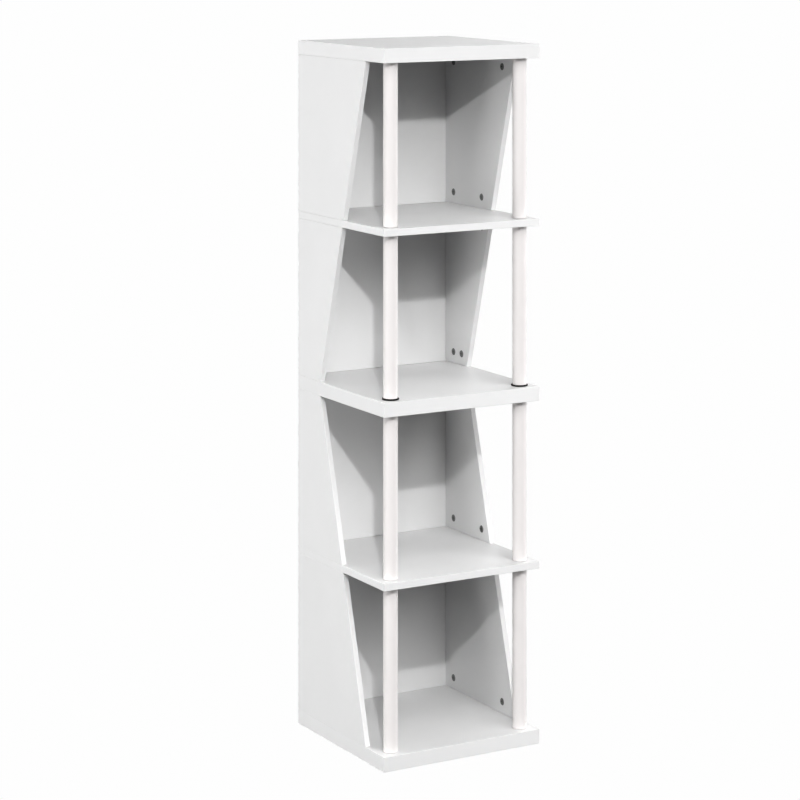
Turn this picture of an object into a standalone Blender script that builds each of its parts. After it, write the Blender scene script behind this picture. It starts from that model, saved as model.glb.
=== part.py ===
"""A slim tower bookcase: five square boards on side panels, back panels and tube posts.

Metres, +Z up, the front towards -Y. The origin is the centre of the footprint, on the floor.
Tiers are numbered from the top. Each side panel is cut back along a slanted front edge, so
that the two sides have the outline of an hourglass that is narrowest at the middle board.
"""

import math

import bmesh
import bpy
from mathutils import Matrix, Vector

MM = 0.001
GAP = 0.3 * MM  # clearance left between two pieces that touch

# Overall plan and the heights of the tiers
WIDTH = 300 * MM
DEPTH = 300 * MM
THICK_BOARD = 24 * MM
THIN_BOARD = 12 * MM
TIER_CLEAR = 270 * MM
TIERS = 4

# Side and back panels
PANEL = 9 * MM
EDGE_DEPTH_AT_END = 62 * MM  # how far behind the front a panel starts at the top or base board
EDGE_DEPTH_AT_MIDDLE = 220 * MM  # and at the middle board

# Posts
POST_RADIUS = 12 * MM
POST_WALL = 2 * MM
POST_PLUG = 14 * MM  # length of the solid end of a tube
POST_FROM_SIDE = 25 * MM
POST_FROM_FRONT = 23 * MM
POST_SIDES = 24
SPIGOT_RADIUS = 4 * MM
SPIGOT_LENGTH = 12 * MM
STUD_RADIUS = 3 * MM
STUD_GRIP = 11 * MM  # how far a stud reaches into a post
RING_RADIUS = 14.2 * MM
RING_HEIGHT = 2.4 * MM

# Cam locks and their bolts
CAM_RADIUS = 6 * MM
CAM_HEIGHT = 7 * MM
CAM_FROM_END = 20 * MM  # from the end of the panel to the centre of the cam
CAM_SIDES = 16
CAM_LID = 2 * MM  # solid part of a cam above its hollow
CAM_HOLLOW_RADIUS = 2.7 * MM
CAM_SLOT = 3.4 * MM
SLOT_STEPS = 5
CROSS_LENGTH = 6 * MM
CROSS_WIDTH = 1.1 * MM
CROSS_DEPTH = 1.2 * MM
FRONT_BOLT_DEPTH = 104 * MM  # behind the front, at the top and base boards
FRONT_BOLT_STEP = 67 * MM  # further back at each level towards the middle
REAR_BOLT_FROM_BACK = 35 * MM
BOLT_RADIUS = 2 * MM
BOLT_NECK_RADIUS = 1.2 * MM
BOLT_NECK = 5.6 * MM
BOLT_HEAD = 1.8 * MM
BOLT_SIDES = 10
BOLT_GRIP = 11 * MM  # how far a single-ended bolt is screwed into a thick board
BORE_SIDES = 12

# Boards from the top down, each with its thickness
BOARDS = (
    ("top_board", THICK_BOARD),
    ("upper_shelf", THIN_BOARD),
    ("middle_board", THICK_BOARD),
    ("lower_shelf", THIN_BOARD),
    ("base_board", THICK_BOARD),
)
SIDES = (("left", -1), ("right", 1))

MATERIALS = {
    "white_melamine": ((0.86, 0.86, 0.86), 0.45, 0.0),
    "white_pvc": ((0.88, 0.84, 0.83), 0.3, 0.0),
    "black_rubber": ((0.015, 0.015, 0.015), 0.6, 0.0),
    "zinc_alloy": ((0.33, 0.33, 0.32), 0.4, 1.0),
    "plated_steel": ((0.55, 0.55, 0.54), 0.3, 1.0),
}


def clear_scene():
    """Remove every object that the scene starts with."""
    for obj in list(bpy.data.objects):
        bpy.data.objects.remove(obj, do_unlink=True)


def make_collection(name):
    collection = bpy.data.collections.new(name)
    bpy.context.scene.collection.children.link(collection)
    return collection


def make_material(name):
    """A plain Principled material with the colour, roughness and metallic value of its name."""
    colour, roughness, metallic = MATERIALS[name]
    material = bpy.data.materials.new(name)
    material.use_nodes = True
    shader = material.node_tree.nodes["Principled BSDF"]
    shader.inputs["Base Color"].default_value = (*colour, 1.0)
    shader.inputs["Roughness"].default_value = roughness
    shader.inputs["Metallic"].default_value = metallic
    return material


def add_object(name, data, material=None, cutter=False):
    """Link a new object to the bookcase, or to the hidden cutters."""
    obj = bpy.data.objects.new(name, data)
    if cutter:
        obj.hide_render = True
        obj.display_type = "WIRE"
        cutters.objects.link(obj)
    else:
        bookcase.objects.link(obj)
    if material:
        data.materials.append(materials[material])
    return obj


def mesh_from(name, work):
    """Turn a bmesh into a mesh with its faces pointing out."""
    bmesh.ops.recalc_face_normals(work, faces=work.faces)
    mesh = bpy.data.meshes.new(name)
    work.to_mesh(mesh)
    work.free()
    return mesh


def box(name, low, high, material):
    """A rectangular piece between two opposite corners."""
    low, high = Vector(low), Vector(high)
    work = bmesh.new()
    bmesh.ops.create_cube(work, size=1, matrix=Matrix.Diagonal((*(high - low), 1)))
    obj = add_object(name, mesh_from(name, work), material)
    obj.location = (low + high) / 2
    return obj


def add_cylinder(work, radius, start, end, sides):
    """Add a closed cylinder to a bmesh, from one point to another."""
    start, end = Vector(start), Vector(end)
    turn = (end - start).to_track_quat("Z", "Y").to_matrix().to_4x4()
    bmesh.ops.create_cone(
        work,
        cap_ends=True,
        segments=sides,
        radius1=radius,
        radius2=radius,
        depth=(end - start).length,
        matrix=Matrix.Translation((start + end) / 2) @ turn,
    )


def drill(piece, holes):
    """Cut round holes, each given as (radius, start, end) in world space, from one piece."""
    work = bmesh.new()
    for radius, start, end in holes:
        sides = BORE_SIDES if radius < CAM_RADIUS else CAM_SIDES
        add_cylinder(work, radius, start, end, sides)
    cutter = add_object(piece.name + "_drill", mesh_from(piece.name + "_drill", work), cutter=True)
    cut = piece.modifiers.new("holes", "BOOLEAN")
    cut.operation = "DIFFERENCE"
    cut.solver = "EXACT"
    cut.use_self = True
    cut.object = cutter


def turned(name, profile, sides, material, closed=False):
    """A piece turned about Z from (radius, height) points that run down its outer side.

    A profile that starts and ends on the axis makes a solid, and a closed one makes a ring.
    """
    work = bmesh.new()
    points = [work.verts.new((radius, 0, height)) for radius, height in profile]
    for first, second in zip(points, points[1:]):
        work.edges.new((first, second))
    if closed:
        work.edges.new((points[-1], points[0]))
    mesh = bpy.data.meshes.new(name)
    work.to_mesh(mesh)
    work.free()
    obj = add_object(name, mesh, material)
    screw = obj.modifiers.new("turn", "SCREW")
    screw.steps = sides
    screw.render_steps = sides
    screw.use_merge_vertices = True
    screw.merge_threshold = 0.01 * MM
    screw.use_smooth_shade = True
    return obj


def frozen_mesh(obj):
    """The mesh of an object with its modifiers applied; the object itself is removed."""
    bpy.context.view_layer.update()
    graph = bpy.context.evaluated_depsgraph_get()
    mesh = bpy.data.meshes.new_from_object(obj.evaluated_get(graph))
    bpy.data.objects.remove(obj, do_unlink=True)
    return mesh


def board_heights():
    """The bottom and top height of each board, by name."""
    heights = {}
    top = sum(thickness for _, thickness in BOARDS) + TIERS * TIER_CLEAR
    for name, thickness in BOARDS:
        heights[name] = (top - thickness, top)
        top -= thickness + TIER_CLEAR
    return heights


def tier_span(tier):
    """The bottom and top height of the open space of one tier."""
    above, below = BOARDS[tier - 1][0], BOARDS[tier][0]
    return heights[below][1], heights[above][0]


def edge_depth(height):
    """How far behind the front the side panels start at a height, for either half."""
    total = heights["top_board"][1]
    from_end = min(height, total - height) - THICK_BOARD
    share = from_end / (total / 2 - 1.5 * THICK_BOARD)
    return EDGE_DEPTH_AT_END + share * (EDGE_DEPTH_AT_MIDDLE - EDGE_DEPTH_AT_END)


def bolt_places(level):
    """The front and rear Y of the bolts at a board, counted from the top board as 0."""
    steps = min(level, TIERS - level)
    front = FRONT_BOLT_DEPTH + steps * FRONT_BOLT_STEP - DEPTH / 2
    return front, DEPTH / 2 - REAR_BOLT_FROM_BACK


def post_place(side):
    """The X and Y of the centre of the posts on one side."""
    return side * (WIDTH / 2 - POST_FROM_SIDE), POST_FROM_FRONT - DEPTH / 2


def panel_middle(side):
    """The X of the middle of a side panel's thickness, where its bolts run."""
    return side * (WIDTH - PANEL) / 2


def make_board(level):
    """A square board, drilled for the bolts and for the studs or spigots of the posts."""
    name = BOARDS[level][0]
    low, high = heights[name]
    board = box(name, (-WIDTH / 2, -DEPTH / 2, low), (WIDTH / 2, DEPTH / 2, high), "white_melamine")
    # A hole goes right through, but stops inside the outermost boards.
    bolt_low, bolt_high = low - GAP, high + GAP
    post_low, post_high = bolt_low, bolt_high
    if level == 0:
        bolt_high = low + BOLT_GRIP + GAP
        post_high = low + SPIGOT_LENGTH + GAP
    if level == TIERS:
        bolt_low = high - BOLT_GRIP - GAP
        post_low = high - SPIGOT_LENGTH - GAP
    outermost = level in (0, TIERS)
    post_radius = (SPIGOT_RADIUS if outermost else STUD_RADIUS) + GAP
    holes = []
    for _, side in SIDES:
        x = panel_middle(side)
        for y in bolt_places(level):
            holes.append((BOLT_RADIUS + GAP, (x, y, bolt_low), (x, y, bolt_high)))
        x, y = post_place(side)
        holes.append((post_radius, (x, y, post_low), (x, y, post_high)))
    drill(board, holes)


def panel_outline(name, low, high):
    """A flat side panel in the YZ plane, as a mesh whose thickness is along X."""
    curve = bpy.data.curves.new(name, "CURVE")
    curve.dimensions = "2D"
    curve.fill_mode = "BOTH"
    curve.extrude = PANEL / 2
    spline = curve.splines.new("POLY")
    back = DEPTH / 2
    corners = (
        (edge_depth(low) - DEPTH / 2, low),
        (back, low),
        (back, high),
        (edge_depth(high) - DEPTH / 2, high),
    )
    spline.points.add(len(corners) - 1)
    for point, (y, z) in zip(spline.points, corners):
        point.co = (y, z, 0, 1)
    spline.use_cyclic_u = True
    mesh = frozen_mesh(add_object(name, curve))
    work = bmesh.new()
    work.from_mesh(mesh)
    bmesh.ops.remove_doubles(work, verts=work.verts, dist=0.01 * MM)
    bpy.data.meshes.remove(mesh)
    return mesh_from(name, work)


def make_side_panel(side_name, side, tier):
    """A panel with a slanted front edge, bored for four cams and for the bolts that they hold."""
    low, high = tier_span(tier)
    name = f"{side_name}_panel_tier_{tier}"
    mesh = panel_outline(name, low + GAP, high - GAP)
    panel = add_object(name, mesh, "white_melamine")
    # The outline's own X and Y become Y and Z, and its thickness becomes X.
    panel.rotation_euler = (math.pi / 2, 0, math.pi / 2)
    panel.location.x = panel_middle(side)
    inner = side * (WIDTH / 2 - PANEL)
    floor = inner + side * (CAM_HEIGHT + GAP)
    mouth = inner - side * GAP
    holes = []
    for level, end, inward in ((tier - 1, high, -1), (tier, low, 1)):
        z = end + inward * CAM_FROM_END
        for y in bolt_places(level):
            holes.append((CAM_RADIUS + GAP, (mouth, y, z), (floor, y, z)))
            holes.append((BOLT_RADIUS + GAP, (panel.location.x, y, end), (panel.location.x, y, z)))
    drill(panel, holes)


def make_back_panel(tier):
    """The back of one tier, between the side panels."""
    low, high = tier_span(tier)
    half = WIDTH / 2 - PANEL - GAP
    box(
        f"back_panel_tier_{tier}",
        (-half, DEPTH / 2 - PANEL, low + GAP),
        (half, DEPTH / 2, high - GAP),
        "white_melamine",
    )


def make_post(side_name, side, tier):
    """A hollow tube with solid ends, each bored for a stud or carrying a spigot."""
    low, high = tier_span(tier)
    half = (high - low) / 2 - GAP
    inner = POST_RADIUS - POST_WALL
    bore = STUD_RADIUS + GAP
    stud_end = (POST_RADIUS, half)
    tip = half + SPIGOT_LENGTH
    spigot_end = ((0, tip), (SPIGOT_RADIUS, tip), (SPIGOT_RADIUS, half), stud_end)
    hollow = half - POST_PLUG
    bored_end = ((bore, -half), (bore, -hollow), (inner, -hollow), (inner, hollow))
    outermost = tier in (1, TIERS)
    if outermost:
        profile = (*spigot_end, (POST_RADIUS, -half), *bored_end, (0, hollow))
    else:
        profile = (stud_end, (POST_RADIUS, -half), *bored_end, (bore, hollow), (bore, half))
    name = f"{side_name}_post_tier_{tier}"
    post = turned(name, profile, POST_SIDES, "white_pvc", closed=not outermost)
    post.location = (*post_place(side), (low + high) / 2)
    if tier == TIERS:
        post.rotation_euler.x = math.pi  # the spigot points down into the base board


def make_ring(side_name, side):
    """A black ring round the foot of a post on the middle board."""
    inner = POST_RADIUS + GAP
    half = RING_HEIGHT / 2
    ring = turned(
        f"{side_name}_post_ring",
        ((RING_RADIUS, half), (RING_RADIUS, -half), (inner, -half), (inner, half)),
        POST_SIDES,
        "black_rubber",
        closed=True,
    )
    ring.location = (*post_place(side), heights["middle_board"][1] + GAP + half)


def make_stud(side_name, side, level):
    """A plain stud through a board, from one post into the next."""
    board = BOARDS[level][0]
    low, high = heights[board]
    half = (high - low) / 2 + STUD_GRIP
    profile = ((0, half), (STUD_RADIUS, half), (STUD_RADIUS, -half), (0, -half))
    stud = turned(f"{side_name}_post_stud_{board}", profile, BOLT_SIDES, "plated_steel")
    stud.location = (*post_place(side), (low + high) / 2)


def bolt_end(half):
    """The profile of a bolt's head and neck, from the tip down to the shank."""
    neck_top = half - BOLT_HEAD
    neck_foot = neck_top - BOLT_NECK
    return (
        (0, half),
        (BOLT_RADIUS, half),
        (BOLT_RADIUS, neck_top),
        (BOLT_NECK_RADIUS, neck_top),
        (BOLT_NECK_RADIUS, neck_foot),
        (BOLT_RADIUS, neck_foot),
    )


def make_bolt(side_name, side, level):
    """The front cam bolt at a board: a head and neck at each end that a cam grips."""
    board = BOARDS[level][0]
    low, high = heights[board]
    reach = CAM_FROM_END + BOLT_HEAD / 2
    low_end = low - reach
    high_end = high + reach
    if level == 0:
        high_end = low + BOLT_GRIP
    if level == TIERS:
        low_end = high - BOLT_GRIP
    half = (high_end - low_end) / 2
    head = bolt_end(half)
    if level in (0, TIERS):
        profile = (*head, (BOLT_RADIUS, -half), (0, -half))
    else:
        profile = (*head, *((radius, -height) for radius, height in reversed(head)))
    bolt = turned(f"{side_name}_cam_bolt_{board}", profile, BOLT_SIDES, "plated_steel")
    bolt.location = (panel_middle(side), bolt_places(level)[0], (low_end + high_end) / 2)
    if level == 0:
        bolt.rotation_euler.x = math.pi  # the head hangs below the top board


def cam_hollow():
    """What is cut from a cam: the mouth for a bolt's head and a quarter turn of neck slot."""
    work = bmesh.new()
    reach = CAM_RADIUS + GAP
    deep = CAM_HEIGHT + GAP
    add_cylinder(work, CAM_HOLLOW_RADIUS, (0, 0, -CAM_LID), (0, 0, -deep), BORE_SIDES)
    # The mouth opens along +X, and the neck slot ends where the bolt comes in, along +Y.
    mouth = (reach, 2 * CAM_HOLLOW_RADIUS, deep - CAM_LID, 1)
    mouth_centre = (reach / 2, 0, -(deep + CAM_LID) / 2)
    slot = (CAM_SLOT, reach, CAM_SLOT, 1)
    slot_centre = (0, reach / 2, -PANEL / 2)
    for size, centre in ((mouth, mouth_centre), (slot, slot_centre)):
        place = Matrix.Translation(centre) @ Matrix.Diagonal(size)
        bmesh.ops.create_cube(work, size=1, matrix=place)
    # Between the two, the slot is a quarter of a disc at the height of the bolt.
    angles = [math.pi / 2 * step / SLOT_STEPS for step in range(SLOT_STEPS + 1)]
    outline = [(0, 0)] + [(reach * math.cos(angle), reach * math.sin(angle)) for angle in angles]
    low = -(PANEL + CAM_SLOT) / 2
    face = work.faces.new([work.verts.new((x, y, low)) for x, y in outline])
    grown = bmesh.ops.extrude_face_region(work, geom=[face])["geom"]
    raised = [item for item in grown if isinstance(item, bmesh.types.BMVert)]
    bmesh.ops.translate(work, verts=raised, vec=(0, 0, CAM_SLOT))
    return mesh_from("cam_hollow", work)


def cross_recess():
    """Two crossed bars for a screwdriver, sunk into a cam's face."""
    work = bmesh.new()
    for size in ((CROSS_LENGTH, CROSS_WIDTH), (CROSS_WIDTH, CROSS_LENGTH)):
        shape = Matrix.Diagonal((*size, 2 * CROSS_DEPTH, 1))
        bmesh.ops.create_cube(work, size=1, matrix=shape)
    return mesh_from("cross_recess", work)


def cam_mesh():
    """One cam, face up at Z = 0, with its bolt coming in along +Y."""
    work = bmesh.new()
    add_cylinder(work, CAM_RADIUS, (0, 0, -CAM_HEIGHT), (0, 0, 0), CAM_SIDES)
    blank = add_object("cam_blank", mesh_from("cam_blank", work), "zinc_alloy")
    for mesh in (cam_hollow(), cross_recess()):
        cutter = add_object(mesh.name, mesh, cutter=True)
        cut = blank.modifiers.new(mesh.name, "BOOLEAN")
        cut.operation = "DIFFERENCE"
        cut.solver = "EXACT"
        cut.use_self = True
        cut.object = cutter
    return frozen_mesh(blank)


def make_cam(mesh, side_name, side, tier, level):
    """The front cam of a side panel next to one of its two boards."""
    low, high = tier_span(tier)
    upper = level < tier
    z = high - CAM_FROM_END if upper else low + CAM_FROM_END
    cam = add_object(f"{side_name}_cam_tier_{tier}_{'upper' if upper else 'lower'}", mesh)
    # The face looks inwards along X, and the bolt comes in along Z from the board.
    face = Vector((-side, 0, 0))
    bolt = Vector((0, 0, 1 if upper else -1))
    cam.rotation_euler = Matrix((bolt.cross(face), bolt, face)).transposed().to_euler()
    cam.location = (side * (WIDTH / 2 - PANEL), bolt_places(level)[0], z)


clear_scene()
bookcase = make_collection("tower_bookcase")
cutters = make_collection("cutters")
materials = {name: make_material(name) for name in MATERIALS}
heights = board_heights()

for board_level in range(len(BOARDS)):
    make_board(board_level)
for tier_number in range(1, TIERS + 1):
    make_back_panel(tier_number)

shared_cam = cam_mesh()
for word, sign in SIDES:
    make_ring(word, sign)
    for tier_number in range(1, TIERS + 1):
        make_side_panel(word, sign, tier_number)
        make_post(word, sign, tier_number)
        for board_level in (tier_number - 1, tier_number):
            make_cam(shared_cam, word, sign, tier_number, board_level)
    for board_level in range(len(BOARDS)):
        make_bolt(word, sign, board_level)
    for board_level in range(1, TIERS):
        make_stud(word, sign, board_level)
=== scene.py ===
"""Looks of the slim tower bookcase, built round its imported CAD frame.

Metres, +Z up, front towards -Y. Every visible board, panel, post, ring and cam lock is a finished
piece made here from the place and size of its CAD node. The bolts and studs inside stay as they are.
"""

import math

import bmesh
import bpy
from mathutils import Matrix, Vector


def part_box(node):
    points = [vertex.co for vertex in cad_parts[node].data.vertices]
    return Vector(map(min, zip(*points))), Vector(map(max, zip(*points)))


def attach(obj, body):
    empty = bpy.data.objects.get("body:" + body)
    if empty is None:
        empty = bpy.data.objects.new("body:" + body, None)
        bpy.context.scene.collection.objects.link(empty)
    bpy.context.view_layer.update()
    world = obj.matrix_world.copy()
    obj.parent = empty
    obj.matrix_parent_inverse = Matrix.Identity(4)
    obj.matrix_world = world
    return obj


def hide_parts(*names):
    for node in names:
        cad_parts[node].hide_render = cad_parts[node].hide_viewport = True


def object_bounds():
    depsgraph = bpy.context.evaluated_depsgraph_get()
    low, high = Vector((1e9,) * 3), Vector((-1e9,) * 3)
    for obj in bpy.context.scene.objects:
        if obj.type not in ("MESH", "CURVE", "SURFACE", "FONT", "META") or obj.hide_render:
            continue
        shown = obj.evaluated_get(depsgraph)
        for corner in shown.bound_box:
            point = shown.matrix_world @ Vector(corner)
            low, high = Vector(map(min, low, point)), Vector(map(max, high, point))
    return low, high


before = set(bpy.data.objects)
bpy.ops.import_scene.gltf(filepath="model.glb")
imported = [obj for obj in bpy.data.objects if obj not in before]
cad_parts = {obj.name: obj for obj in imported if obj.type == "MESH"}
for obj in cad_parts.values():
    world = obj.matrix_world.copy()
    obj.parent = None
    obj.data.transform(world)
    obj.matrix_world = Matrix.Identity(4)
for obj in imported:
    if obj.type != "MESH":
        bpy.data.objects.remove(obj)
cad_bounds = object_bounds()

MM = 0.001
BODY = "root"
SIDES = (("left", -1), ("right", 1))
TIERS = (1, 2, 3, 4)
BOARDS = ("top_board", "upper_shelf", "middle_board", "lower_shelf", "base_board")
GAP = 0.3 * MM  # clearance round each piece, as in the CAD
CLOSED_GAP = 0.15 * MM  # what is left of it where a finished panel is pressed against its neighbour

# Boards and panels
EDGE_ROUND = 0.4 * MM  # rounding of the arrises
EDGE_STEPS = 3
BAND = 0.9 * MM  # thickness of the edge banding, seen as a hairline round each face
GROOVE = 0.12 * MM  # width of that hairline
GROOVE_DEPTH = 0.05 * MM
REAR_BOLT_FROM_BACK = 35 * MM

# Posts and rings
POST_STEPS = 96
POST_END_ROUND = 0.9 * MM
PLUG_FLANGE = 2.4 * MM  # visible part of a post's end plug
PLUG_SEAM = 0.16 * MM
POST_WALL = 2 * MM
PLUG_LENGTH = 14 * MM
STUD_BORE = 3.3 * MM
SPIGOT_RADIUS = 4 * MM
ROUND_STEPS = 6  # points in a quarter-round

# Cam locks
CAM_STEPS = 48
BORE_STEPS = CAM_STEPS // 2
CAM_CHAMFER = 0.35 * MM
CAM_LID = 2 * MM
CAM_HOLLOW_RADIUS = 2.7 * MM
CAM_SLOT = 3.4 * MM
CROSS_LENGTH = 6.2 * MM
CROSS_WIDTH = 1.2 * MM
CROSS_DEPTH = 1.3 * MM
ARROW_SIZE = 1.1 * MM
ARROW_DEPTH = 0.3 * MM


# ---------------------------------------------------------------- materials


class Nodes:
    """A material's node tree, with short calls for adding and joining nodes."""

    def __init__(self, name):
        self.material = bpy.data.materials.new(name)
        self.material.use_nodes = True
        self.tree = self.material.node_tree
        self.shader = self.tree.nodes["Principled BSDF"]
        self.output = self.tree.nodes["Material Output"]
        coordinates = self.tree.nodes.new("ShaderNodeTexCoord")
        self.place = coordinates.outputs["Object"]

    def add(self, kind, inputs=None, **settings):
        node = self.tree.nodes.new(kind)
        for key, value in settings.items():
            setattr(node, key, value)
        for key, value in (inputs or {}).items():
            self.feed(node, key, value)
        return node

    def feed(self, node, key, value):
        """Set an input to a plain value, or join another node's output to it."""
        if isinstance(value, bpy.types.NodeSocket):
            self.tree.links.new(value, node.inputs[key])
        else:
            node.inputs[key].default_value = value

    def noise(self, scale, detail=2.0, stretch=(1, 1, 1)):
        """Noise whose features are about one over scale metres long."""
        spread = self.add("ShaderNodeMapping", {"Vector": self.place, "Scale": stretch})
        made = self.add("ShaderNodeTexNoise", {"Vector": spread.outputs[0], "Scale": scale, "Detail": detail})
        return made.outputs["Fac"]

    def span(self, value, low, high):
        """A 0 to 1 value spread over a range."""
        made = self.add("ShaderNodeMapRange", {"Value": value, "From Min": 0.25, "From Max": 0.75})
        self.feed(made, "To Min", low)
        self.feed(made, "To Max", high)
        return made.outputs[0]

    def blend(self, share, first, second):
        made = self.add("ShaderNodeMix", data_type="RGBA")
        for key, value in ((0, share), (6, first), (7, second)):
            self.feed(made, key, value)
        return made.outputs[2]

    def bump(self, height, depth, under=None):
        """A relief of a height in metres, optionally laid over another."""
        made = self.add("ShaderNodeBump", {"Height": height, "Distance": depth, "Strength": 1.0})
        if under:
            self.feed(made, "Normal", under)
        return made.outputs[0]

    def finish(self, **inputs):
        for key, value in inputs.items():
            self.feed(self.shader, key.replace("_", " "), value)
        return self.material


def laminate(name, tint, roughness, grain):
    """White melamine: an even colour with faint clouding, and a very fine pressed texture."""
    made = Nodes(name)
    cloud = made.noise(9, 3)
    pale = tuple(channel * 1.012 for channel in tint)
    dull = tuple(channel * 0.985 for channel in tint)
    colour = made.blend(made.span(cloud, 0, 1), (*dull, 1), (*pale, 1))
    pores = made.noise(2600, 2, grain)
    swell = made.noise(240, 2, grain)
    relief = made.bump(pores, 0.012 * MM, made.bump(swell, 0.02 * MM))
    shine = made.span(made.noise(420, 2), roughness - 0.05, roughness + 0.05)
    return made.finish(Base_Color=colour, Roughness=shine, Normal=relief)


def tube_plastic(name, tint):
    """Extruded white plastic: a slightly warm gloss with faint lines drawn along the tube."""
    made = Nodes(name)
    lines = made.noise(900, 2, (1, 1, 0.01))
    cloud = made.noise(14, 2)
    pale = tuple(channel * 1.01 for channel in tint)
    dull = tuple(channel * 0.985 for channel in tint)
    colour = made.blend(made.span(cloud, 0, 1), (*dull, 1), (*pale, 1))
    relief = made.bump(lines, 0.01 * MM, made.bump(made.noise(60, 1), 0.02 * MM))
    shine = made.span(made.noise(300, 2, (1, 1, 0.1)), 0.48, 0.56)
    return made.finish(Base_Color=colour, Roughness=shine, Normal=relief, Specular_IOR_Level=0.25)


def rubber(name):
    """Black rubber with a dusty bloom and a fine matt grain."""
    made = Nodes(name)
    bloom = made.noise(500, 4)
    colour = made.blend(made.span(bloom, 0, 1), (0.002, 0.002, 0.002, 1), (0.008, 0.008, 0.008, 1))
    relief = made.bump(made.noise(3000, 3), 0.03 * MM)
    shine = made.span(bloom, 0.5, 0.72)
    return made.finish(Base_Color=colour, Roughness=shine, Normal=relief)


def metal(name, tint, roughness, grain, depth):
    """Bare metal with a grain, and painted shade that darkens its recesses towards near black."""
    made = Nodes(name)
    marks = made.noise(1800, 4, grain)
    pale = tuple(channel * 1.15 for channel in tint)
    dull = tuple(channel * 0.8 for channel in tint)
    colour = made.blend(made.span(marks, 0, 1), (*dull, 1), (*pale, 1))
    # Painted shade: an ambient occlusion node blends the colour towards near black in recesses and creases.
    hollow = made.add("ShaderNodeAmbientOcclusion", {"Distance": 1.5 * MM}, samples=4)
    colour = made.blend(hollow.outputs["AO"], (0.02, 0.02, 0.02, 1), colour)
    relief = made.bump(marks, depth)
    shine = made.span(marks, roughness - 0.07, roughness + 0.09)
    return made.finish(Base_Color=colour, Roughness=shine, Normal=relief, Metallic=1.0)


# Each tint is the colour of the middle of its clouding.
MELAMINE_TINT = (0.8, 0.8, 0.8)
BAND_TINT = (0.81, 0.81, 0.81)
TUBE_TINT = (0.795, 0.772, 0.766)
ALONG_X = (0.25, 1, 1)
ALONG_Z = (1, 1, 0.25)
face_material = laminate("melamine_face", MELAMINE_TINT, 0.5, (1, 1, 1))
band_flat = laminate("edge_band_level", BAND_TINT, 0.46, ALONG_X)
band_upright = laminate("edge_band_upright", BAND_TINT, 0.46, ALONG_Z)
tube_material = tube_plastic("tube_plastic", TUBE_TINT)
ring_material = rubber("ring_rubber")
cam_material = metal("cam_zinc", (0.3, 0.3, 0.295), 0.48, (1, 1, 1), 0.05 * MM)
steel_material = metal("plated_steel", (0.62, 0.61, 0.58), 0.28, (1, 1, 0.1), 0.01 * MM)


# ---------------------------------------------------------------- mesh tools


def centre(node):
    low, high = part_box(node)
    return (low + high) / 2


def size(node):
    low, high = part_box(node)
    return high - low


def to_mesh(name, work):
    bmesh.ops.recalc_face_normals(work, faces=work.faces)
    mesh = bpy.data.meshes.new(name)
    work.to_mesh(mesh)
    work.free()
    return mesh


def piece(name, mesh, materials, slot, *stands_for):
    """A shown piece on the one body, with its materials and the CAD nodes that it stands for."""
    obj = bpy.data.objects.new(name, mesh)
    bpy.context.scene.collection.objects.link(obj)
    if not mesh.materials:
        for material in materials:
            mesh.materials.append(material)
    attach(obj, BODY)
    if stands_for:
        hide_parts(*stands_for)
    return obj


def add_rod(work, radius, start, end, steps):
    """A closed cylinder between two points, for cutting with."""
    start, end = Vector(start), Vector(end)
    turn = (end - start).to_track_quat("Z", "Y").to_matrix().to_4x4()
    place = Matrix.Translation((start + end) / 2) @ turn
    length = (end - start).length
    bmesh.ops.create_cone(
        work, cap_ends=True, segments=steps, radius1=radius, radius2=radius, depth=length, matrix=place
    )


def add_prism(work, outline, start, height):
    """A closed prism on an outline in X and Y, from a height upwards."""
    face = work.faces.new([work.verts.new((x, y, start)) for x, y in outline])
    grown = bmesh.ops.extrude_face_region(work, geom=[face])["geom"]
    raised = [item for item in grown if isinstance(item, bmesh.types.BMVert)]
    bmesh.ops.translate(work, verts=raised, vec=(0, 0, height))


def cut(mesh, work):
    """The mesh with the shapes in a bmesh taken out of it."""
    body = bpy.data.objects.new("body", mesh)
    tool = bpy.data.objects.new("tool", to_mesh("tool", work))
    for obj in (body, tool):
        bpy.context.scene.collection.objects.link(obj)
    boolean = body.modifiers.new("cut", "BOOLEAN")
    boolean.operation = "DIFFERENCE"
    boolean.solver = "EXACT"
    boolean.use_self = True
    boolean.object = tool
    bpy.context.view_layer.update()
    result = bpy.data.meshes.new_from_object(body.evaluated_get(bpy.context.evaluated_depsgraph_get()))
    result.name = mesh.name
    for obj in (body, tool):
        bpy.data.objects.remove(obj, do_unlink=True)
    return result


def soften(obj, angle=35):
    """Smooth shading over the roundings, with flat faces kept flat and sharper edges kept sharp."""
    obj.data.shade_smooth()
    obj.data.set_sharp_from_angle(angle=math.radians(angle))
    weighted = obj.modifiers.new("normals", "WEIGHTED_NORMAL")
    weighted.keep_sharp = True


def quarter(middle_radius, middle_height, radius, start):
    """Points of a quarter-round in (radius, height), turning clockwise from an angle in degrees."""
    points = []
    for step in range(ROUND_STEPS + 1):
        angle = math.radians(start - 90 * step / ROUND_STEPS)
        points.append((middle_radius + radius * math.cos(angle), middle_height + radius * math.sin(angle)))
    return points


def turned(name, profile, steps, closed):
    """A mesh turned about Z from (radius, height) points; an open profile ends on the axis."""
    work = bmesh.new()
    points = [work.verts.new((radius, 0, height)) for radius, height in profile]
    edges = [work.edges.new(pair) for pair in zip(points, points[1:])]
    if closed:
        edges.append(work.edges.new((points[-1], points[0])))
    bmesh.ops.spin(
        work,
        geom=points + edges,
        axis=(0, 0, 1),
        cent=(0, 0, 0),
        angle=2 * math.pi,
        steps=steps,
        use_merge=True,
    )
    bmesh.ops.remove_doubles(work, verts=work.verts, dist=0.001 * MM)
    return to_mesh(name, work)


# ---------------------------------------------------------------- boards and panels


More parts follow.
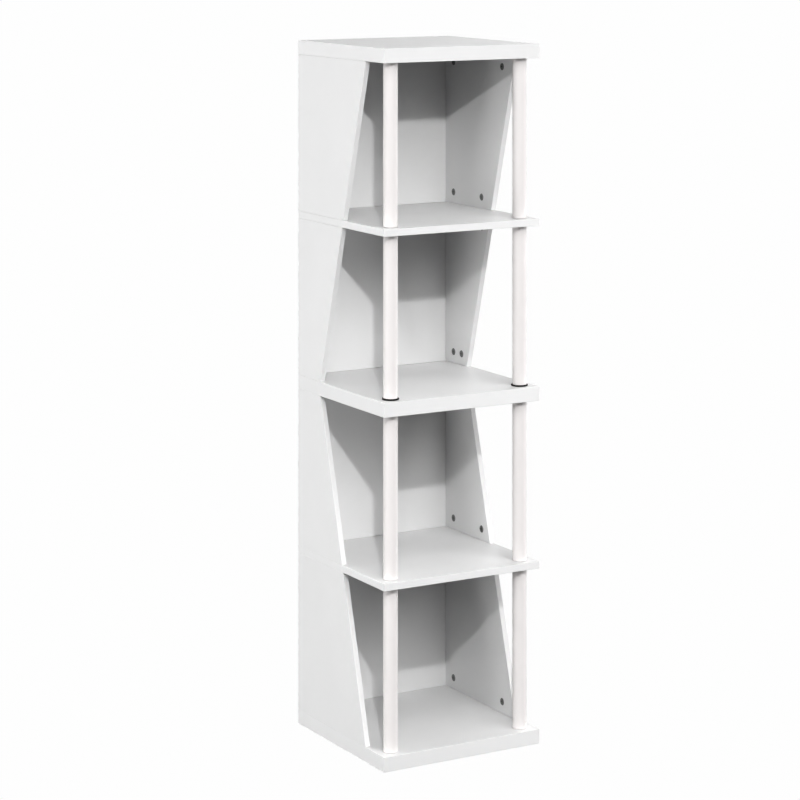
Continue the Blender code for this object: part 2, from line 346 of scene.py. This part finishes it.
def slab(name, outline, thickness, axes, origin):
    """A laminated board with rounded arrises, and a hairline where the edge banding meets each face.

    The outline is in the first two axes and the thickness runs along the third, from the origin.
    Faces get material 0, and edges with their banding get material 1.
    """
    work = bmesh.new()
    add_prism(work, outline, 0, thickness)
    bmesh.ops.recalc_face_normals(work, faces=work.faces)
    bmesh.ops.bevel(
        work, geom=work.edges[:], offset=EDGE_ROUND, segments=EDGE_STEPS, profile=0.5, affect="EDGES"
    )
    for item in work.faces:
        item.material_index = 1
    broad = sorted(work.faces, key=lambda item: item.calc_area())[-2:]
    for width, depth in ((BAND - EDGE_ROUND, 0), (GROOVE / 2, -GROOVE_DEPTH), (GROOVE / 2, GROOVE_DEPTH)):
        bmesh.ops.inset_individual(work, faces=broad, thickness=width, depth=depth)
    for item in broad:
        item.material_index = 0
    turn = Matrix(axes).transposed().to_4x4()
    bmesh.ops.transform(work, verts=work.verts, matrix=Matrix.Translation(origin) @ turn)
    return to_mesh(name, work)


def rectangle(width, height):
    return ((0, 0), (width, 0), (width, height), (0, height))


def bolt_axes(level):
    """X and Y of the bolts at a board: the front ones from the CAD, and the rear ones behind them."""
    places = []
    for side_name, _ in SIDES:
        bolt = centre(f"{side_name}_cam_bolt_{BOARDS[level]}")
        places.append((bolt.x, bolt.y))
        places.append((bolt.x, cad_bounds[1].y - REAR_BOLT_FROM_BACK))
    return places


def bolt_reach(level):
    """The lowest and highest point of the bolts at a board."""
    low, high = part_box(f"left_cam_bolt_{BOARDS[level]}")
    return low.z, high.z


def board_piece(level):
    """A square board, bored for the bolts, and for the studs or spigots of the posts."""
    node = BOARDS[level]
    low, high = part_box(node)
    axes = ((1, 0, 0), (0, 1, 0), (0, 0, 1))
    mesh = slab(node, rectangle(high.x - low.x, high.y - low.y), high.z - low.z, axes, low)
    work = bmesh.new()
    bolt_radius = size(f"left_cam_bolt_{node}").x / 2 + GAP
    bolt_low, bolt_high = bolt_reach(level)
    for x, y in bolt_axes(level):
        start = bolt_low if bolt_low > low.z else low.z - GAP
        end = bolt_high if bolt_high < high.z else high.z + GAP
        add_rod(work, bolt_radius, (x, y, start), (x, y, end), BORE_STEPS)
    for side_name, _ in SIDES:
        post_low, post_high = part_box(f"{side_name}_post_tier_{max(level, 1)}")
        middle = (post_low + post_high) / 2
        if level in (0, len(BOARDS) - 1):
            radius = SPIGOT_RADIUS + GAP
            start = low.z - GAP if level == 0 else post_low.z - GAP
            end = post_high.z + GAP if level == 0 else high.z + GAP
        else:
            radius = STUD_BORE
            start, end = low.z - GAP, high.z + GAP
        add_rod(work, radius, (middle.x, middle.y, start), (middle.x, middle.y, end), BORE_STEPS)
    obj = piece(f"{node}_laminated", cut(mesh, work), (face_material, band_flat), "white_melamine", node)
    soften(obj)


def side_panel_piece(side_name, side, tier):
    """A side panel with a slanted front edge, bored for four cam locks and their bolts."""
    node = f"{side_name}_panel_tier_{tier}"
    low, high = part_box(node)
    corners = [vertex.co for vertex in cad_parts[node].data.vertices]
    upper_front = min(corner.y for corner in corners if abs(corner.z - high.z) < GAP)
    lower_front = min(corner.y for corner in corners if abs(corner.z - low.z) < GAP)
    grow = GAP - CLOSED_GAP
    bottom, top = low.z - grow, high.z + grow
    outline = ((lower_front, bottom), (high.y, bottom), (high.y, top), (upper_front, top))
    axes = ((0, 1, 0), (0, 0, 1), (1, 0, 0))
    mesh = slab(node, outline, high.x - low.x, axes, (low.x, 0, 0))
    middle = (low.x + high.x) / 2
    work = bmesh.new()
    for level, end in ((tier - 1, "upper"), (tier, "lower")):
        cam_low, cam_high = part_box(f"{side_name}_cam_tier_{tier}_{end}")
        cam = (cam_low + cam_high) / 2
        cam_radius = (cam_high.z - cam_low.z) / 2 + GAP
        mouth = (low.x if side > 0 else high.x) - side * GAP
        floor = (cam_high.x if side > 0 else cam_low.x) + side * GAP
        bolt_radius = size(f"{side_name}_cam_bolt_{BOARDS[level]}").x / 2 + GAP
        edge = high.z + GAP if end == "upper" else low.z - GAP
        for y in (cam.y, cad_bounds[1].y - REAR_BOLT_FROM_BACK):
            add_rod(work, cam_radius, (mouth, y, cam.z), (floor, y, cam.z), CAM_STEPS)
            add_rod(work, bolt_radius, (middle, y, edge), (middle, y, cam.z), BORE_STEPS)
    obj = piece(f"{node}_laminated", cut(mesh, work), (face_material, band_upright), "white_melamine", node)
    soften(obj)


def back_panel_piece(tier):
    """A plain back panel that fills the space between its boards and side panels."""
    node = f"back_panel_tier_{tier}"
    low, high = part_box(node)
    grow = Vector((1, 0, 1)) * (GAP - CLOSED_GAP)
    low, high = low - grow, high + grow
    axes = ((0, 0, 1), (1, 0, 0), (0, 1, 0))
    mesh = slab(node, rectangle(high.z - low.z, high.x - low.x), high.y - low.y, axes, low)
    obj = piece(f"{node}_laminated", mesh, (face_material, band_upright), "white_melamine", node)
    soften(obj)


# ---------------------------------------------------------------- posts and rings


def post_end(radius, half, plug):
    """Outer side of one end of a post, from its end face down: a rounded flange, then a seam."""
    seam = half - PLUG_FLANGE
    flange = quarter(radius - POST_END_ROUND, half - POST_END_ROUND, POST_END_ROUND, 90)
    groove = (
        (radius, seam + PLUG_SEAM / 2),
        (radius - PLUG_SEAM / 2, seam),
        (radius, seam - PLUG_SEAM / 2),
    )
    return (*plug, *flange, *groove)


def post_piece(side_name, tier):
    """A white tube with a plug in each end, bored for a stud or moulded with a spigot."""
    node = f"{side_name}_post_tier_{tier}"
    low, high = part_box(node)
    radius = (high.x - low.x) / 2
    middle = (low + high) / 2
    span_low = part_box(BOARDS[tier])[1].z + GAP
    span_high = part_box(BOARDS[tier - 1])[0].z - GAP
    half = (span_high - span_low) / 2
    spigot = max(high.z - span_high, span_low - low.z)
    outermost = spigot > GAP
    inner = radius - POST_WALL
    hollow = half - PLUG_LENGTH
    top = ((0, half + spigot), (SPIGOT_RADIUS, half + spigot), (SPIGOT_RADIUS, half)) if outermost else ()
    upper = post_end(radius, half, top)
    lower = tuple((r, -height) for r, height in reversed(post_end(radius, half, ())))
    inside = ((STUD_BORE, -half), (STUD_BORE, -hollow), (inner, -hollow), (inner, hollow))
    last = ((0, hollow),) if outermost else ((STUD_BORE, hollow), (STUD_BORE, half))
    mesh = turned(node, (*upper, *lower, *inside, *last), POST_STEPS, closed=not outermost)
    flip = Matrix.Rotation(math.pi, 4, "X") if tier == TIERS[-1] else Matrix.Identity(4)
    mesh.transform(Matrix.Translation((middle.x, middle.y, (span_low + span_high) / 2)) @ flip)
    obj = piece(f"{node}_tube", mesh, (tube_material,), "white_pvc", node)
    soften(obj, 40)


def ring_piece(side_name):
    """A soft black ring with a round outer face, tight round the foot of a post."""
    node = f"{side_name}_post_ring"
    low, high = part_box(node)
    outer = (high.x - low.x) / 2
    half = (high.z - low.z) / 2
    inner = size(f"{side_name}_post_tier_2").x / 2 + GAP / 3
    upper = quarter(outer - half, 0, half, 90)
    lower = quarter(outer - half, 0, half, 0)[1:]
    profile = ((inner, half), *upper, *lower, (inner, -half))
    mesh = turned(node, profile, POST_STEPS, closed=True)
    mesh.transform(Matrix.Translation((low + high) / 2))
    obj = piece(f"{node}_rubber", mesh, (ring_material,), "black_rubber", node)
    soften(obj, 50)


# ---------------------------------------------------------------- cam locks


def cam_mesh():
    """A cam lock with its face at Z = 0 and its bolt coming in along +Y."""
    cam_size = size("right_cam_tier_1_upper")
    radius, depth = cam_size.y / 2, cam_size.x
    panel = size("right_panel_tier_1").x
    profile = (
        (0, 0),
        (radius - CAM_CHAMFER, 0),
        (radius, -CAM_CHAMFER),
        (radius, -depth),
        (0, -depth),
    )
    blank = turned("cam_lock", profile, CAM_STEPS, closed=False)
    reach = radius + GAP
    deep = depth + GAP
    work = bmesh.new()
    add_rod(work, CAM_HOLLOW_RADIUS, (0, 0, -CAM_LID), (0, 0, -deep), BORE_STEPS)
    bars = (
        ((reach, 2 * CAM_HOLLOW_RADIUS, deep - CAM_LID), (reach / 2, 0, -(deep + CAM_LID) / 2)),
        ((CAM_SLOT, reach, CAM_SLOT), (0, reach / 2, -panel / 2)),
        ((CROSS_LENGTH, CROSS_WIDTH, 2 * CROSS_DEPTH), (0, 0, 0)),
        ((CROSS_WIDTH, CROSS_LENGTH, 2 * CROSS_DEPTH), (0, 0, 0)),
    )
    for sides, place in bars:
        shape = Matrix.Translation(place) @ Matrix.Diagonal((*sides, 1))
        bmesh.ops.create_cube(work, size=1, matrix=shape)
    # The neck slot runs round a quarter of the rim, and a small arrow marks where it ends.
    quarter_turn = CAM_STEPS // 4
    angles = [math.pi / 2 * step / quarter_turn for step in range(quarter_turn + 1)]
    wedge = [(0, 0)] + [(reach * math.cos(angle), reach * math.sin(angle)) for angle in angles]
    tip = radius - 2 * CAM_CHAMFER
    arrow = ((-ARROW_SIZE / 2, tip - ARROW_SIZE), (ARROW_SIZE / 2, tip - ARROW_SIZE), (0, tip))
    add_prism(work, wedge, -(panel + CAM_SLOT) / 2, CAM_SLOT)
    add_prism(work, arrow, -ARROW_DEPTH, 2 * ARROW_DEPTH)
    mesh = cut(blank, work)
    mesh.materials.clear()
    mesh.materials.append(cam_material)
    mesh.shade_smooth()
    mesh.set_sharp_from_angle(angle=math.radians(30))
    return mesh


def cam_pieces(mesh, side_name, side, tier, end):
    """The front and rear cam lock of a side panel, near its upper or its lower end."""
    node = f"{side_name}_cam_tier_{tier}_{end}"
    low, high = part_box(node)
    middle = (low + high) / 2
    bolt = Vector((0, 0, 1 if end == "upper" else -1))
    face = Vector((-side, 0, 0))
    turn = Matrix((bolt.cross(face), bolt, face)).transposed().to_4x4()
    surface = low.x if side > 0 else high.x
    rear_y = cad_bounds[1].y - REAR_BOLT_FROM_BACK
    for name, y, stands_for in ((node + "_zinc", middle.y, (node,)), (node + "_rear", rear_y, ())):
        obj = piece(name, mesh, (cam_material,), "zinc_alloy", *stands_for)
        obj.matrix_world = Matrix.Translation((surface, y, middle.z)) @ turn


def rear_bolt(side_name, level):
    """A copy of the front bolt at the same board, moved to the rear cams."""
    node = f"{side_name}_cam_bolt_{BOARDS[level]}"
    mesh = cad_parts[node].data.copy()
    shift = cad_bounds[1].y - REAR_BOLT_FROM_BACK - centre(node).y
    mesh.transform(Matrix.Translation((0, shift, 0)))
    mesh.materials.clear()
    obj = piece(f"{node}_rear", mesh, (steel_material,), "plated_steel")
    soften(obj)


# ---------------------------------------------------------------- the object

for board_level in range(len(BOARDS)):
    board_piece(board_level)
shared_cam = cam_mesh()
for tier_number in TIERS:
    back_panel_piece(tier_number)
for word, sign in SIDES:
    ring_piece(word)
    for tier_number in TIERS:
        side_panel_piece(word, sign, tier_number)
        post_piece(word, tier_number)
        for panel_end in ("upper", "lower"):
            cam_pieces(shared_cam, word, sign, tier_number, panel_end)
    for board_level in range(len(BOARDS)):
        rear_bolt(word, board_level)
for node_name, node_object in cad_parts.items():
    if "_bolt_" in node_name or "_stud_" in node_name:
        node_object.data.materials.clear()
        node_object.data.materials.append(steel_material)


# ---------------------------------------------------------------- stage, light and camera

CAMERA_PLACE = Vector((-2.2655, -3.8749, 1.4156))
CAMERA_TURN = math.radians(-29.937)
CAMERA_LENS = 118.69
CAMERA_SHIFT = -0.6236
BACKDROP = 0.993  # brightness of the floor and the backdrop, as the camera sees them
FLOOR_SIZE = 30
FLOOR_TINT = 0.05  # what the floor reflects onto the bookcase
BOX_WIDTH = 1.6
BOX_DISTANCE = 2.8
SKY_SPREAD = math.radians(55)
VIEW_GAMMA = 0.77
DIFFUSE_BOUNCES = 2


def stage_floor():
    """A large pale floor that reads as the same white as the backdrop."""
    work = bmesh.new()
    bmesh.ops.create_grid(work, x_segments=8, y_segments=8, size=FLOOR_SIZE)
    floor = bpy.data.objects.new("floor", to_mesh("floor", work))
    bpy.context.scene.collection.objects.link(floor)
    made = Nodes("floor_white")
    glow = made.add("ShaderNodeEmission", {"Color": (BACKDROP, BACKDROP, BACKDROP, 1), "Strength": 1.0})
    path = made.add("ShaderNodeLightPath")
    mix = made.add("ShaderNodeMixShader")
    made.feed(mix, 0, path.outputs["Is Camera Ray"])
    made.feed(mix, 1, made.shader.outputs[0])
    made.feed(mix, 2, glow.outputs[0])
    made.feed(made.output, "Surface", mix.outputs[0])
    matt = made.finish(Base_Color=(FLOOR_TINT, FLOOR_TINT, FLOOR_TINT, 1), Roughness=0.9)
    floor.data.materials.append(matt)


def add_light(name, data, place, target):
    """Put a light at a place and turn it to a target."""
    obj = bpy.data.objects.new(name, data)
    obj.location = place
    obj.rotation_euler = (target - obj.location).to_track_quat("-Z", "Y").to_euler()
    bpy.context.scene.collection.objects.link(obj)


def key_light(place, width, power):
    """A small hard lamp whose light fades slowly, aimed at the middle of the bookcase."""
    data = bpy.data.lights.new("key", "AREA")
    data.shape = "DISK"
    data.size = width
    data.energy = power
    data.use_nodes = True
    nodes = data.node_tree.nodes
    fading = nodes.new("ShaderNodeLightFalloff")
    fading.inputs["Strength"].default_value = 1.0
    data.node_tree.links.new(fading.outputs["Linear"], nodes["Emission"].inputs["Strength"])
    add_light("key", data, place, (cad_bounds[0] + cad_bounds[1]) / 2)


def around(azimuth, distance, height):
    """A place round the bookcase; azimuth 0 is the front and minus 90 its left."""
    angle = math.radians(azimuth)
    return Vector((distance * math.sin(angle), -distance * math.cos(angle), height))


def softbox(name, azimuth, height, power):
    """An upright square softbox at a height, aimed level at the bookcase."""
    data = bpy.data.lights.new(name, "AREA")
    data.shape = "SQUARE"
    data.size = BOX_WIDTH
    data.energy = power
    add_light(name, data, around(azimuth, BOX_DISTANCE, height), Vector((0, 0, height)))


def sky(name, azimuth, elevation, strength):
    """A broad patch of even light from far away; only its direction matters, not its place."""
    data = bpy.data.lights.new(name, "SUN")
    data.angle = SKY_SPREAD
    data.energy = strength
    height = math.tan(math.radians(elevation))
    add_light(name, data, around(azimuth, 1, height), Vector((0, 0, 0)))


def backdrop():
    """A white backdrop that only the camera sees."""
    world = bpy.data.worlds.new("studio")
    world.use_nodes = True
    bpy.context.scene.world = world
    tree = world.node_tree
    white = tree.nodes["Background"]
    white.inputs["Color"].default_value = (BACKDROP, BACKDROP, BACKDROP, 1)
    path = tree.nodes.new("ShaderNodeLightPath")
    tree.links.new(path.outputs["Is Camera Ray"], white.inputs["Strength"])


def make_camera():
    """A level camera in front and to the left, with a lens shift that keeps uprights upright."""
    data = bpy.data.cameras.new("camera")
    data.lens = CAMERA_LENS
    data.clip_end = 100
    camera = bpy.data.objects.new("camera", data)
    camera.location = CAMERA_PLACE
    camera.rotation_euler = (math.pi / 2, 0, CAMERA_TURN)
    bpy.context.scene.collection.objects.link(camera)
    bpy.context.scene.camera = camera
    # The shift belongs to this place only, so that it is gone when the camera is moved round.
    driver = data.driver_add("shift_y").driver
    place = driver.variables.new()
    place.name = "x"
    place.type = "TRANSFORMS"
    place.targets[0].id = camera
    place.targets[0].transform_type = "LOC_X"
    place.targets[0].transform_space = "WORLD_SPACE"
    driver.expression = f"{CAMERA_SHIFT} if abs(x - {CAMERA_PLACE.x:.5f}) < 0.0005 else 0"


stage_floor()
backdrop()
key_light((-1.285, -2.45, 2.12), width=0.08, power=11.6)
sky("sky_front", azimuth=0, elevation=40, strength=2.0)
sky("sky_top", azimuth=0, elevation=65, strength=0.15)
sky("sky_front_left", azimuth=-45, elevation=40, strength=0.45)
sky("sky_back_right", azimuth=120, elevation=15, strength=1.7)
sky("sky_back_left", azimuth=-150, elevation=15, strength=1.8)
softbox("box_front_right", azimuth=60, height=0.1, power=50)
softbox("box_right", azimuth=90, height=0.1, power=30)
softbox("box_left", azimuth=-90, height=0.1, power=70)
make_camera()
scene = bpy.context.scene
scene.view_settings.view_transform = "Standard"
scene.view_settings.gamma = VIEW_GAMMA
scene.cycles.diffuse_bounces = DIFFUSE_BOUNCES
